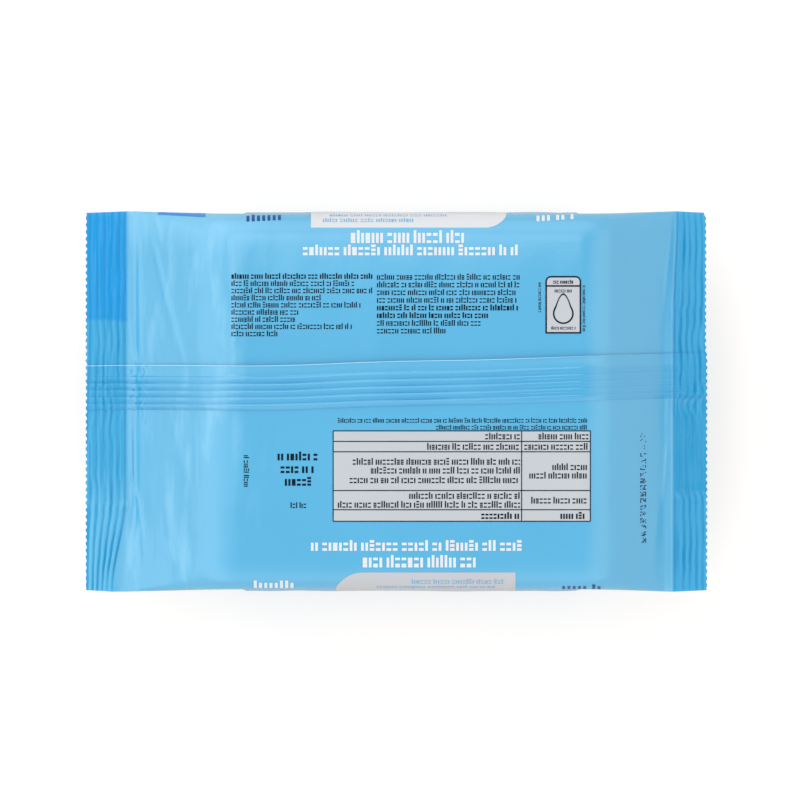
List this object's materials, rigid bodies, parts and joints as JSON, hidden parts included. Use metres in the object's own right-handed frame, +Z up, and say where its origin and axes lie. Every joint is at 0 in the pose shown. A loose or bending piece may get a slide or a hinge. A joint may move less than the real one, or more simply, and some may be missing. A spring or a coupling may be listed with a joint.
{
  "type": "wet wipes pack",
  "caption": "Sealed soft-film pack of folded wet wipes with gusseted, crimped ends, a ribbed back seam folded flat and a peel-and-reseal flap on the front; lies front side down.",
  "frame": {"origin": "on the surface that the pack lies on, under the middle of its overall box", "axes": "+X along the pack from the wider end slope to the steeper one, +Y across the pack towards the loose edge of the folded back seam, +Z up out of the back"},
  "size_m": [0.1626, 0.0994, 0.052],
  "materials": {
    "blue_film": "satin printed film",
    "flap_film": "gloss label film"
  },
  "bodies": {
    "root": {"pouch": "blue_film", "reseal_flap": "flap_film"}
  },
  "joints": []
}
